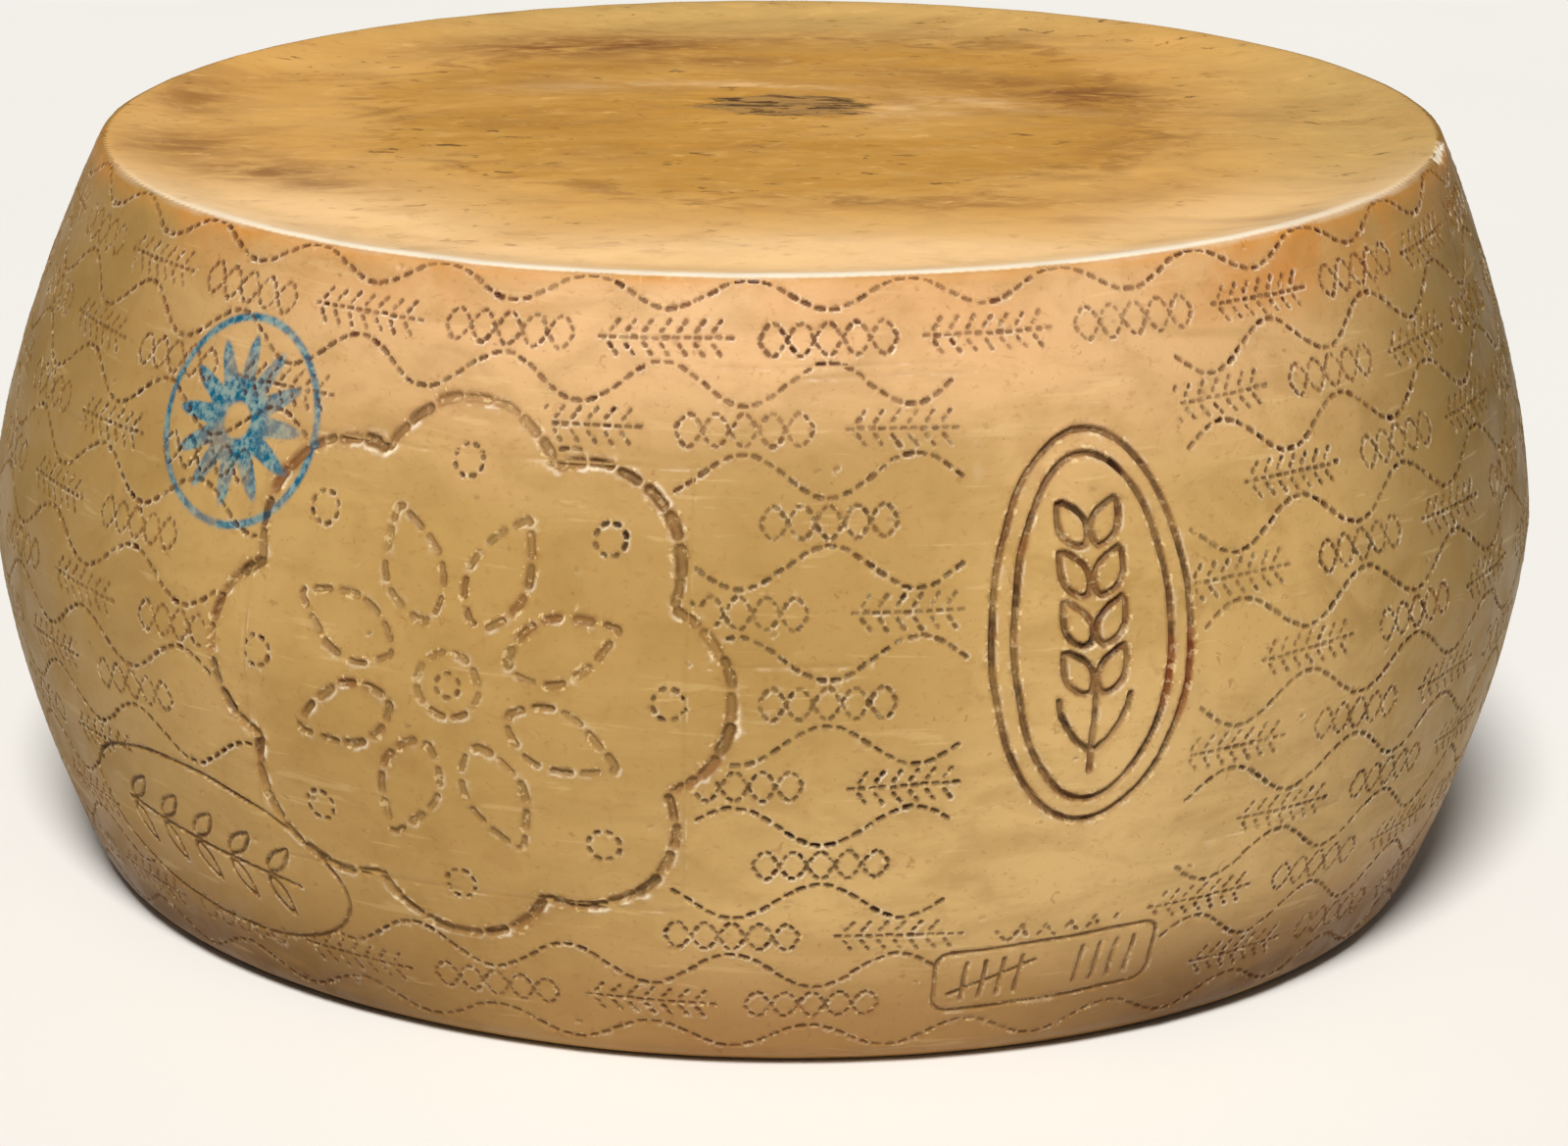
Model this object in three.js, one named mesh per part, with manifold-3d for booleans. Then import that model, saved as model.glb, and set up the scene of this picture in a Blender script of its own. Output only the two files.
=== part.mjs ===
// A whole wheel of hard, aged cheese: one uncut solid with a bulging heel,
// a raised rim round its slightly dished top, and the large marks pressed into the rind.
// Millimetres, +Z up. The origin is the middle of the flat base.
// Round the heel, angles run from the front (-Y) and grow towards +X.

import * as THREE from 'three';
import { mergeVertices } from 'three/addons/utils/BufferGeometryUtils.js';
import Module from 'manifold-3d';

// Wheel
const wheelDiameter = 440; // across the widest part of the heel
const heelHeight = 211; // base to rim crest, on average
const bulgeHeight = 106; // where the heel is widest
const topFaceRadius = 189; // where the heel meets the top, before rounding
const baseFaceRadius = 190; // where the heel meets the base, before rounding
const upperCurve = 1.54; // how late the heel turns in above the bulge (2 is a parabola)
const lowerCurve = 1.66; // the same below the bulge
const rimFillet = 4.4;
const baseFillet = 6.6;
const heelSkew = 0.026; // the heel stands this share higher at +X, and lower at -X
const lipWidth = 22; // the rim's slope down to the dished top
const dishDepth = 2.6; // the top face below the rim crest

// Fineness of the turned body
const turnSegments = 88;
const halfHeelSteps = 7; // from the widest ring down to the base's rounding, and up to the rim's
const filletSteps = 3;
const lipSteps = 3;

// Marks: middle (degrees round the heel, height), and half sizes along the rind
const rosette = { angle: -20.9, height: 108, radius: 74, scallops: 8, notch: 11 };
const emblem = { angle: 22.9, height: 123, halfWidth: 28, halfHeight: 51 };
const ovalSeal = { angle: -44.5, height: 43.5, halfWidth: 50, halfHeight: 24, tilt: -8 };
const dateBox = { angle: 22.5, height: 27, width: 62, depth: 20, corner: 4, tilt: 3 };

// Grooves: width at the surface, depth, the floor's share of the width,
// and where a line is broken into dashes, the share of it that they fill
const outlineGroove = { width: 3.2, depth: 2.0, floor: 0.45, fill: 0.86 };
const petalGroove = { width: 2.6, depth: 1.6, floor: 0.45, fill: 0.74 };
const emblemGroove = { width: 2.6, depth: 1.7, floor: 0.4 };
const thinGroove = { width: 1.6, depth: 1.0, floor: 0.4 };
const cutterLift = 0.8; // how far a cutter stands out of the rind
const longestStep = 14; // a straight cut longer than this would dive under the round rind

const wheelRadius = wheelDiameter / 2;
const arcSamples = 400;

const wasm = await Module();
wasm.setup();

// How much an edge's rounding takes off the radius, at a distance from that edge
function edgeRounding(distance, fillet) {
  const share = Math.max(0, 1 - distance / fillet);
  return fillet * (1 - Math.sqrt(1 - share ** 2));
}

function heelRadius(height) {
  const upper = height >= bulgeHeight;
  const reach = upper ? (height - bulgeHeight) / (heelHeight - bulgeHeight) : 1 - height / bulgeHeight;
  const faceRadius = upper ? topFaceRadius : baseFaceRadius;
  const belly = wheelRadius - (wheelRadius - faceRadius) * reach ** (upper ? upperCurve : lowerCurve);
  return belly - edgeRounding(heelHeight - height, rimFillet) - edgeRounding(height, baseFillet);
}

// The dished top: down the lip, then level to the middle
function topHeight(radius) {
  const crestRadius = heelRadius(heelHeight);
  return heelHeight - dishDepth * THREE.MathUtils.smoothstep(crestRadius - radius, 0, lipWidth);
}

// A step from 0 to 1 that crowds its points at the edge, for a rounded corner
const crowded = (step, steps) => 1 - Math.cos((step / steps) * (Math.PI / 2));

// Half outline of the wheel, from the base's middle to the top's middle
function wheelOutline() {
  const outline = [new THREE.Vector2(0, 0)];
  const addHeel = (height) => outline.push(new THREE.Vector2(heelRadius(height), height));
  for (let step = 0; step < filletSteps; step++) {
    addHeel(baseFillet * crowded(step, filletSteps));
  }
  for (let step = 0; step < halfHeelSteps; step++) {
    addHeel(THREE.MathUtils.lerp(baseFillet, bulgeHeight, step / halfHeelSteps));
  }
  for (let step = 0; step <= halfHeelSteps; step++) {
    addHeel(THREE.MathUtils.lerp(bulgeHeight, heelHeight - rimFillet, step / halfHeelSteps));
  }
  for (let step = filletSteps - 1; step >= 0; step--) {
    addHeel(heelHeight - rimFillet * crowded(step, filletSteps));
  }
  const crestRadius = heelRadius(heelHeight);
  for (let step = 1; step <= lipSteps; step++) {
    const radius = crestRadius - (lipWidth * step) / lipSteps;
    outline.push(new THREE.Vector2(radius, topHeight(radius)));
  }
  outline.push(new THREE.Vector2(0, heelHeight - dishDepth));
  return outline;
}

// The real heel is not quite level: its height grows a little from -X to +X
const skewed = (x, height) => height * (1 + (heelSkew * x) / wheelRadius);

function toManifold(geometry) {
  geometry.deleteAttribute('normal');
  geometry.deleteAttribute('uv');
  const merged = mergeVertices(geometry, 1e-4);
  return new wasm.Manifold(new wasm.Mesh({
    numProp: 3,
    vertProperties: new Float32Array(merged.attributes.position.array),
    triVerts: new Uint32Array(merged.index.array),
  }));
}

function wheelBody() {
  const geometry = new THREE.LatheGeometry(wheelOutline(), turnSegments);
  geometry.rotateX(Math.PI / 2); // the lathe turns about Y; the wheel stands on Z
  const position = geometry.attributes.position;
  for (let i = 0; i < position.count; i++) {
    position.setZ(i, skewed(position.getX(i), position.getZ(i)));
  }
  return toManifold(geometry);
}

// Distance along the heel from the base's edge, at evenly spaced heights
const arcAtHeight = [0];
for (let i = 1; i <= arcSamples; i++) {
  const low = (heelHeight * (i - 1)) / arcSamples;
  const high = (heelHeight * i) / arcSamples;
  arcAtHeight.push(arcAtHeight[i - 1] + Math.hypot(high - low, heelRadius(high) - heelRadius(low)));
}

function arcOf(height) {
  const place = (height / heelHeight) * arcSamples;
  const below = Math.min(Math.floor(place), arcSamples - 1);
  return THREE.MathUtils.lerp(arcAtHeight[below], arcAtHeight[below + 1], place - below);
}

function heightOf(arc) {
  const above = Math.max(1, arcAtHeight.findIndex((length) => length >= arc));
  const share = (arc - arcAtHeight[above - 1]) / (arcAtHeight[above] - arcAtHeight[above - 1]);
  return ((above - 1 + share) * heelHeight) / arcSamples;
}

// A point of a mark's flat drawing, laid on the rind and moved out of it by lift
function onRind(mark, point, lift) {
  const angle = THREE.MathUtils.degToRad(mark.angle) + point.x / heelRadius(mark.height);
  const height = heightOf(arcOf(mark.height) + point.y);
  const slope = heelRadius(height + 0.5) - heelRadius(height - 0.5); // for each millimetre up
  const steep = Math.hypot(1, slope);
  const radius = heelRadius(height) + lift / steep;
  const raised = height - (lift * slope) / steep;
  const x = radius * Math.sin(angle);
  return new THREE.Vector3(x, -radius * Math.cos(angle), skewed(x, raised));
}

// A path with points added on its long straights, so that it follows the rind
function hugging(path, closed) {
  const points = [];
  for (let i = 0; i < (closed ? path.length : path.length - 1); i++) {
    const next = path[(i + 1) % path.length];
    const pieces = Math.ceil(path[i].distanceTo(next) / longestStep);
    for (let piece = 0; piece < pieces; piece++) {
      points.push(path[i].clone().lerp(next, piece / pieces));
    }
  }
  return closed ? points : [...points, path[path.length - 1]];
}

// A cutter along a drawn line: wide above the rind, narrower at its floor
function grooveCutter(mark, drawn, groove, closed) {
  const path = hugging(drawn, closed);
  const count = path.length;
  const positions = [];
  for (let i = 0; i < count; i++) {
    const before = path[closed ? (i + count - 1) % count : Math.max(i - 1, 0)];
    const after = path[closed ? (i + 1) % count : Math.min(i + 1, count - 1)];
    const along = after.clone().sub(before).normalize();
    const side = new THREE.Vector2(-along.y, along.x).multiplyScalar(groove.width / 2);
    const corner = (share, lift) => onRind(mark, path[i].clone().addScaledVector(side, share), lift);
    const corners = [corner(1, cutterLift), corner(-1, cutterLift),
      corner(-groove.floor, -groove.depth), corner(groove.floor, -groove.depth)];
    corners.forEach((vertex) => positions.push(...vertex));
  }
  const indices = [];
  const quad = (a, b, c, d) => indices.push(a, b, c, a, c, d);
  for (let i = 0; i < (closed ? count : count - 1); i++) {
    const here = 4 * i;
    const next = 4 * ((i + 1) % count);
    for (let edge = 0; edge < 4; edge++) {
      const turn = (edge + 1) % 4;
      quad(here + edge, here + turn, next + turn, next + edge);
    }
  }
  if (!closed) {
    const last = 4 * (count - 1);
    quad(3, 2, 1, 0);
    quad(last, last + 1, last + 2, last + 3);
  }
  const geometry = new THREE.BufferGeometry();
  geometry.setAttribute('position', new THREE.Float32BufferAttribute(positions, 3));
  geometry.setIndex(indices);
  return toManifold(geometry);
}

// Points turned about a mark's middle, then shifted
function turned(points, degrees, across = 0, up = 0) {
  const middle = new THREE.Vector2(0, 0);
  const shift = new THREE.Vector2(across, up);
  return points.map((p) => p.clone().rotateAround(middle, THREE.MathUtils.degToRad(degrees)).add(shift));
}

// The same line with evenly spaced points, both ends kept
function evenly(points, pieces) {
  const spline = new THREE.Path();
  spline.setFromPoints(points);
  return spline.getSpacedPoints(pieces);
}

// A line broken into pressed dashes that nearly touch
function dashes(mark, line, count, groove) {
  const ends = evenly(line, count);
  const gap = (1 - groove.fill) / 2;
  return Array.from({ length: count }, (_, i) => {
    const dash = [gap, 1 - gap].map((share) => ends[i].clone().lerp(ends[i + 1], share));
    return grooveCutter(mark, dash, groove, false);
  });
}

function ellipse(halfWidth, halfHeight, points) {
  return Array.from({ length: points }, (_, i) => {
    const turn = (2 * Math.PI * i) / points;
    return new THREE.Vector2(halfWidth * Math.cos(turn), halfHeight * Math.sin(turn));
  });
}

// An almond from its stem end at the origin to its tip at +Y
function almond(length, width, steps) {
  const side = (sign) => (_, i) => {
    const share = (i + 0.5) / steps;
    return new THREE.Vector2((sign * width * Math.sin(Math.PI * share ** 0.8)) / 2, length * share);
  };
  const right = Array.from({ length: steps }, side(1));
  const left = Array.from({ length: steps }, side(-1)).reverse();
  return [...right, ...left];
}

// Scalloped rosette of thick dashes, with a daisy of eight dashed petals in it
function rosetteCutters() {
  const cutters = [];
  const arcPoints = 12;
  const dashesPerScallop = 5;
  const petalRoot = 15;
  const petal = { length: 32, width: 19, steps: 6, dashes: 8 };
  const eye = { radius: 8.5, dashes: 8 };
  const sector = 360 / rosette.scallops;
  for (let k = 0; k < rosette.scallops; k++) {
    const scallop = Array.from({ length: arcPoints + 1 }, (_, i) => {
      const share = i / arcPoints;
      const bulge = Math.sin(Math.PI * share) ** 0.8;
      const radius = rosette.radius - rosette.notch * (1 - bulge);
      const angle = THREE.MathUtils.degToRad(sector * (share - 0.5));
      return new THREE.Vector2(radius * Math.sin(angle), radius * Math.cos(angle));
    });
    cutters.push(...dashes(rosette, turned(scallop, sector * k), dashesPerScallop, outlineGroove));
    const leaf = almond(petal.length, petal.width, petal.steps).map((p) => p.setY(p.y + petalRoot));
    const loop = turned([...leaf, leaf[0]], sector * (k + 0.5));
    cutters.push(...dashes(rosette, loop, petal.dashes, petalGroove));
  }
  const ring = ellipse(eye.radius, eye.radius, 4 * eye.dashes);
  cutters.push(...dashes(rosette, [...ring, ring[0]], eye.dashes, petalGroove));
  return cutters;
}

// Tall double oval round an ear of wheat
function emblemCutters() {
  const ringPoints = 32;
  const ringGap = 6;
  const grain = { length: 14, width: 7.4, steps: 3, lean: 30, pitch: 12.5, pairs: 4, aside: 1.6 };
  const earFoot = -16;
  const stem = [new THREE.Vector2(0, -37), new THREE.Vector2(0, earFoot + 2)];
  const blade = [new THREE.Vector2(1, -31), new THREE.Vector2(7, -25), new THREE.Vector2(10, -17)];
  const line = (points, closed) => grooveCutter(emblem, points, emblemGroove, closed);
  const cutters = [
    line(ellipse(emblem.halfWidth, emblem.halfHeight, ringPoints), true),
    line(ellipse(emblem.halfWidth - ringGap, emblem.halfHeight - ringGap, ringPoints), true),
    line(stem, false),
  ];
  for (let row = 0; row < grain.pairs; row++) {
    const foot = earFoot + grain.pitch * row;
    for (const side of [-1, 1]) {
      const kernel = almond(grain.length, grain.width, grain.steps);
      cutters.push(line(turned(kernel, -side * grain.lean, side * grain.aside, foot), true));
    }
  }
  for (const side of [-1, 1]) {
    cutters.push(line(blade.map((p) => new THREE.Vector2(side * p.x, p.y)), false));
  }
  return cutters;
}

// Plain oval ring round a leafy twig, low on the heel
function ovalSealCutters() {
  const ringPoints = 32;
  const twig = { reach: 34, leaves: 5, leafLength: 11, lean: 38, aside: 1.2 };
  const line = (points, closed) => grooveCutter(ovalSeal, turned(points, ovalSeal.tilt), thinGroove, closed);
  const cutters = [
    line(ellipse(ovalSeal.halfWidth, ovalSeal.halfHeight, ringPoints), true),
    line([new THREE.Vector2(-twig.reach, 0), new THREE.Vector2(twig.reach, 0)], false),
  ];
  for (let i = 0; i < twig.leaves; i++) {
    const foot = THREE.MathUtils.lerp(2 - twig.reach, twig.reach - twig.leafLength, i / (twig.leaves - 1));
    for (const side of [-1, 1]) {
      const leaf = [0, 0.5, 1].map((share) => {
        const bend = THREE.MathUtils.degToRad(side * (90 - twig.lean * share));
        return new THREE.Vector2(Math.cos(bend), Math.sin(bend)).multiplyScalar(twig.leafLength * share);
      });
      cutters.push(line(turned(leaf, 0, foot, side * twig.aside), false));
    }
  }
  return cutters;
}

// Rounded box with tally strokes, at the foot of the heel
function dateBoxCutters() {
  const cornerSteps = 3;
  const tally = { reach: 6, lean: 0.5, strokes: [-23, -18, -13, -8, 9, 14, 19, 24] };
  const line = (points, closed) => grooveCutter(dateBox, turned(points, dateBox.tilt), thinGroove, closed);
  const frame = [];
  for (let quarter = 0; quarter < 4; quarter++) {
    const signX = quarter === 0 || quarter === 3 ? 1 : -1;
    const signY = quarter < 2 ? 1 : -1;
    for (let step = 0; step <= cornerSteps; step++) {
      const turn = (Math.PI / 2) * (quarter + step / cornerSteps);
      frame.push(new THREE.Vector2(
        signX * (dateBox.width / 2 - dateBox.corner) + dateBox.corner * Math.cos(turn),
        signY * (dateBox.depth / 2 - dateBox.corner) + dateBox.corner * Math.sin(turn),
      ));
    }
  }
  const stroke = (x) => [
    new THREE.Vector2(x - tally.lean, -tally.reach),
    new THREE.Vector2(x + tally.lean, tally.reach),
  ];
  const slash = [new THREE.Vector2(-27, -4), new THREE.Vector2(-4, 4)]; // across the first group
  return [
    line(frame, true),
    line(slash, false),
    ...tally.strokes.map((x) => line(stroke(x), false)),
  ];
}

function cheeseWheel() {
  const marks = [...rosetteCutters(), ...emblemCutters(), ...ovalSealCutters(), ...dateBoxCutters()];
  const cut = wheelBody().subtract(wasm.Manifold.union(marks)).getMesh();
  const geometry = new THREE.BufferGeometry();
  geometry.setAttribute('position', new THREE.Float32BufferAttribute(cut.vertProperties, 3));
  geometry.setIndex(new THREE.Uint32BufferAttribute(cut.triVerts, 1));
  geometry.computeVertexNormals();
  const rind = new THREE.MeshStandardMaterial({ color: 0xcf9f62, roughness: 0.55, metalness: 0 });
  const mesh = new THREE.Mesh(geometry, rind);
  mesh.name = 'cheese_wheel';
  return mesh;
}

const wheel = new THREE.Group();
wheel.add(cheeseWheel());

export default wheel;
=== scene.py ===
import math
import bpy
import numpy as np
from mathutils import Matrix, Vector


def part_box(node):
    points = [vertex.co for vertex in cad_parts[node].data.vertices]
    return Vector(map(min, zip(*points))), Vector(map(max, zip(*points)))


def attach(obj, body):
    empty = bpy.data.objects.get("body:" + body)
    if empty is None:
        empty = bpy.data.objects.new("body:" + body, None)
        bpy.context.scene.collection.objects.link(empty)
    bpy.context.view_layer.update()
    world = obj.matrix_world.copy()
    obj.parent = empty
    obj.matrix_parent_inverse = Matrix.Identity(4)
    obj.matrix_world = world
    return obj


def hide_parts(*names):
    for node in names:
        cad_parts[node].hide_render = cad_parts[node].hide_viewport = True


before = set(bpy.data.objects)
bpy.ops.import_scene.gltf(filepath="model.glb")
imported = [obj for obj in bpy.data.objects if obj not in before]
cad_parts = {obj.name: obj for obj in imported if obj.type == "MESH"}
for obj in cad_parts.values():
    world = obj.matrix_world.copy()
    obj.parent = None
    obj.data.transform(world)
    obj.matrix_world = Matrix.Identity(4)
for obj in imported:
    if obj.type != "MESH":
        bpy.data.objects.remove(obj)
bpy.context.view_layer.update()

# A whole wheel of hard aged cheese. Metres, +Z up, front at -Y.
# Round the heel, angles run from the front and grow towards +X. Arcs run up the heel from the base's edge.

cadLow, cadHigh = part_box("cheese_wheel")
mm = 0.001
fullTurn = 2 * math.pi

wheelShape = {
    "radius": (cadHigh.x - cadLow.x) / 2,
    "heelHeight": 211 * mm,
    "bulgeHeight": 106 * mm,
    "topFaceRadius": 189 * mm,
    "baseFaceRadius": 190 * mm,
    "upperCurve": 1.54,
    "lowerCurve": 1.66,
    "rimFillet": 1.9 * mm,  # crisper than in the frame's solid
    "baseFillet": 6.6 * mm,
    "heelSkew": 0.026,      # the heel stands this share higher at +X
    "lipWidth": 22 * mm,
    "dishDepth": 2.6 * mm,
    "keptInside": 0.7 * mm,  # everything stays this far inside the frame's solid before it is roughened
}


# Noise

def softNoise(x, y, seed, columns, rows=97):
    lattice = np.random.default_rng(seed).random((rows, columns))
    col = np.floor(x).astype(int)
    row = np.floor(y).astype(int)
    fx = x - col
    fy = y - row
    fx = fx * fx * (3 - 2 * fx)
    fy = fy * fy * (3 - 2 * fy)
    a = lattice[row % rows, col % columns]
    b = lattice[row % rows, (col + 1) % columns]
    c = lattice[(row + 1) % rows, col % columns]
    d = lattice[(row + 1) % rows, (col + 1) % columns]
    return (a + (b - a) * fx) * (1 - fy) + (c + (d - c) * fx) * fy


def cloud(x, y, seed, columns, octaves=3):
    # layered noise from -1 to 1; it repeats after that many columns
    total = 0
    weight = 1
    weights = 0
    for k in range(octaves):
        total = total + weight * softNoise(x * 2 ** k, y * 2 ** k, seed + k, columns * 2 ** k)
        weights += weight
        weight *= 0.5
    return 2 * total / weights - 1


def ease(value, low, high):
    share = np.clip((value - low) / (high - low), 0, 1)
    return share * share * (3 - 2 * share)


def spot(x, y, middle, halfSize, turn=0.0):
    # a soft round patch: 1 in its middle, half at its edge
    dx = x - middle[0]
    dy = y - middle[1]
    along = (dx * math.cos(turn) + dy * math.sin(turn)) / halfSize[0]
    across = (dy * math.cos(turn) - dx * math.sin(turn)) / halfSize[1]
    return np.exp(-0.7 * (along ** 2 + across ** 2))


# The heel's outline, and the grid that lies on it

def alongPath(points):
    # the length of a path up to each of its points
    return np.concatenate([[0], np.cumsum(np.hypot(*np.diff(np.asarray(points, float), axis=0).T))])


def edgeRounding(distance, fillet):
    share = np.clip(1 - distance / fillet, 0, 1)
    return fillet * (1 - np.sqrt(1 - share ** 2))


def heelRadius(height):
    s = wheelShape
    rise = np.clip((height - s["bulgeHeight"]) / (s["heelHeight"] - s["bulgeHeight"]), 0, 1)
    fall = np.clip(1 - height / s["bulgeHeight"], 0, 1)
    above = s["radius"] - (s["radius"] - s["topFaceRadius"]) * rise ** s["upperCurve"]
    below = s["radius"] - (s["radius"] - s["baseFaceRadius"]) * fall ** s["lowerCurve"]
    belly = np.where(height >= s["bulgeHeight"], above, below)
    top = edgeRounding(s["heelHeight"] - height, s["rimFillet"])
    return belly - top - edgeRounding(height, s["baseFillet"])


grid = {
    "tile": 512,         # a power of two; the heel is tiles of this many steps each way
    "tiles": 6,
    "evenStep": 8,       # the coarsest cells, in steps
    "filletStep": 4,     # the same on the rounded rim and foot, which reach this far
    "fineFoot": 12 * mm,
    "fineRim": 8 * mm,
    "reliefError": 0.1 * mm,
    "maskError": 0.16,
}
gridRows = grid["tile"] + 1
gridColumns = grid["tile"] * grid["tiles"]
crowd = 1 - np.cos(np.linspace(0, math.pi / 2, 80))
heelHeight = wheelShape["heelHeight"]
baseFillet = wheelShape["baseFillet"]
rimFillet = wheelShape["rimFillet"]
fineHeights = np.concatenate([
    baseFillet * crowd,
    np.linspace(baseFillet, heelHeight - rimFillet, 900)[1:-1],
    heelHeight - rimFillet * crowd[::-1],
])
fineRadii = heelRadius(fineHeights)
crestRadius = float(fineRadii[-1])
lipSteps = np.linspace(0, wheelShape["lipWidth"], 80)[1:]
lipHeights = heelHeight - wheelShape["dishDepth"] * ease(lipSteps, 0, wheelShape["lipWidth"])
fineArcs = alongPath(np.stack([fineHeights, fineRadii], 1))
crestArc = float(fineArcs[-1])
outlineRadii = np.concatenate([fineRadii, crestRadius - lipSteps])
outlineHeights = np.concatenate([fineHeights, lipHeights])
outlineArcs = alongPath(np.stack([outlineHeights, outlineRadii], 1))

rowArc = np.linspace(0, outlineArcs[-1], gridRows)
rowRadius = np.interp(rowArc, outlineArcs, outlineRadii)
rowHeight = np.interp(rowArc, outlineArcs, outlineHeights)
rowSlopeR = np.gradient(rowRadius, rowArc)
rowSlopeZ = np.gradient(rowHeight, rowArc)
rowTangent = np.hypot(rowSlopeR, rowSlopeZ)
rowNormal = np.stack([rowSlopeZ / rowTangent, -rowSlopeR / rowTangent], 1)
columnAngle = np.arange(gridColumns) * fullTurn / gridColumns - math.pi / 2
rowStep = rowArc[1]
columnStep = fullTurn / gridColumns


def arcOf(height):
    return float(np.interp(height, fineHeights, fineArcs))


def heightOf(arc):
    return float(np.interp(arc, fineArcs, fineHeights))


def radiusAt(arc):
    return float(np.interp(arc, rowArc, rowRadius))


def skewed(x, height):
    return height * (1 + wheelShape["heelSkew"] * x / wheelShape["radius"])


# Marks pressed into the rind. At every grid point, the stroke that lies nearest is kept.

strokeMaps = {name: np.zeros((gridRows, gridColumns), np.float32)
              for name in ("side", "depth", "lip", "stain", "rust", "core")}
nearest = np.full((gridRows, gridColumns), 9.0, np.float32)     # in half widths of that stroke
chance = np.random.default_rng(41)
columnCells = 36       # of noise round the heel
noiseX = (columnAngle[None, :] + math.pi / 2) / fullTurn * columnCells
noiseY = rowArc[:, None] / (fullTurn * wheelShape["radius"]) * columnCells


def rindCloud(scale, seed, octaves, up=1):
    # where the scale gives whole cells, it joins up with itself round the heel
    return cloud(noiseX * scale, noiseY * scale * up, seed, int(columnCells * scale), octaves)


wearMap = 0.5 + 0.5 * rindCloud(1, 11, 3)


def newTool(width, depth, lip, stain, rust, core):
    # sizes in mm; core is how dark the middle of the groove is beside its walls, and below 1 it makes the
    # walls darker as painted shadow
    looks = {"stain": stain, "rust": rust, "core": core}
    return {"width": width * mm, "depth": depth * mm, "lip": lip * mm, **looks}


tools = {
    "dotted": newTool(width=1.35, depth=0.85, lip=0.2, stain=1.0, rust=0.6, core=1.0),
    "tiny": newTool(width=1.2, depth=0.7, lip=0.22, stain=0.95, rust=0.7, core=1.0),
    "outline": newTool(width=3.1, depth=1.7, lip=0.26, stain=0.76, rust=1.4, core=0.82),
    "figure": newTool(width=2.2, depth=1.1, lip=0.2, stain=0.62, rust=1.0, core=0.65),
    "scorched": newTool(width=1.95, depth=1.25, lip=0.12, stain=0.88, rust=1.6, core=1.0),
    "thin": newTool(width=1.35, depth=0.85, lip=0.12, stain=0.8, rust=0.5, core=0.9),
    "plate": newTool(width=1.0, depth=0.22, lip=0.1, stain=0.1, rust=0.1, core=1.0),
}


def pressStroke(start, end, tool, strength=1.0, tone=1.0, broad=1.0):
    # start and end are (angle, arc)
    radius = radiusAt((start[1] + end[1]) / 2)
    half = tool["width"] / 2 * broad
    reach = 2.2 * half
    row0 = max(0, int((min(start[1], end[1]) - reach) / rowStep))
    row1 = min(gridRows - 1, int((max(start[1], end[1]) + reach) / rowStep) + 1)
    left = min(start[0], end[0]) - reach / radius + math.pi / 2
    right = max(start[0], end[0]) + reach / radius + math.pi / 2
    columns = np.arange(math.floor(left / columnStep), math.ceil(right / columnStep) + 1)
    if row1 <= row0:
        return
    across = (columns * columnStep - math.pi / 2 - start[0])[None, :] * radius
    up = (rowArc[row0:row1 + 1] - start[1])[:, None]
    runX = (end[0] - start[0]) * radius
    runY = end[1] - start[1]
    share = np.clip((across * runX + up * runY) / max(runX ** 2 + runY ** 2, 1e-12), 0, 1)
    offX = across - share * runX
    offY = up - share * runY
    far = np.hypot(offX, offY) / half
    place = np.ix_(np.arange(row0, row1 + 1), columns % gridColumns)
    closer = far < nearest[place]
    nearest[place] = np.where(closer, far, nearest[place])
    side = (offX - offY) / (1.414 * half * np.maximum(far, 0.2))
    for name, value in (
        ("side", side), ("depth", tool["depth"] * strength), ("lip", tool["lip"] * strength),
        ("stain", tool["stain"] * tone * min(1, 0.3 + 0.8 * strength)),
        ("rust", tool["rust"] * strength), ("core", tool["core"]),
    ):
        strokeMaps[name][place] = np.where(closer, value, strokeMaps[name][place])


def shapeStrokes():
    # each stroke is a rounded trench with a low lip thrown up beside it, highest at its lower right
    far = nearest * (1 + 0.2 * rindCloud(20, 17, 2))
    # where core is below 1 the walls of the groove are darker than its middle: painted shadow along the walls
    floor = strokeMaps["core"] + (1 - strokeMaps["core"]) * ease(far, 0.2, 0.75)
    side = 0.5 + 0.5 * strokeMaps["side"]
    return {
        "pit": (1 - ease(far, 0.3, 1.05)) * strokeMaps["depth"],
        "lip": np.exp(-((far - 1.35) / 0.3) ** 2) * side * strokeMaps["lip"],
        "stain": (1 - ease(far, 0.72, 1.15)) * floor * strokeMaps["stain"],
        "rust": (1 - ease(far, 0.75, 2.0)) * strokeMaps["rust"],
    }


def onRind(mark, x, y):
    # a point of a mark's flat drawing, as (angle, arc)
    return (math.radians(mark["angle"]) + x / radiusAt(arcOf(mark["height"])), arcOf(mark["height"]) + y)


def spaced(points, step):
    # evenly spaced points along a line, both ends kept
    line = np.asarray(points, float)
    lengths = alongPath(line)
    count = max(1, round(lengths[-1] / step))
    at = np.linspace(0, lengths[-1], count + 1)
    return np.stack([np.interp(at, lengths, line[:, 0]), np.interp(at, lengths, line[:, 1])], 1)


def pressLine(mark, points, tool, strength=1.0):
    # an unbroken groove, drawn by an unsteady hand
    ends = spaced(points, 2 * mm)
    phase = chance.uniform(0, fullTurn, 4)
    at = np.arange(len(ends))
    closing = np.sin(math.pi * at / max(1, len(ends) - 1)) ** 0.3
    for axis in (0, 1):
        waves = np.sin(at * 0.55 + phase[axis]) + np.sin(at * 0.21 + phase[axis + 2])
        ends[:, axis] += 0.14 * mm * waves * closing
    force = 1 + 0.14 * np.sin(at * 0.37 + phase[1]) + chance.normal(0, 0.06, len(ends))
    tone = 0.85 + 0.2 * np.sin(at * 0.43 + phase[0]) + chance.normal(0, 0.08, len(ends))
    for i in range(len(ends) - 1):
        pressStroke(onRind(mark, *ends[i]), onRind(mark, *ends[i + 1]), tool, strength * force[i], tone[i])


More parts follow.
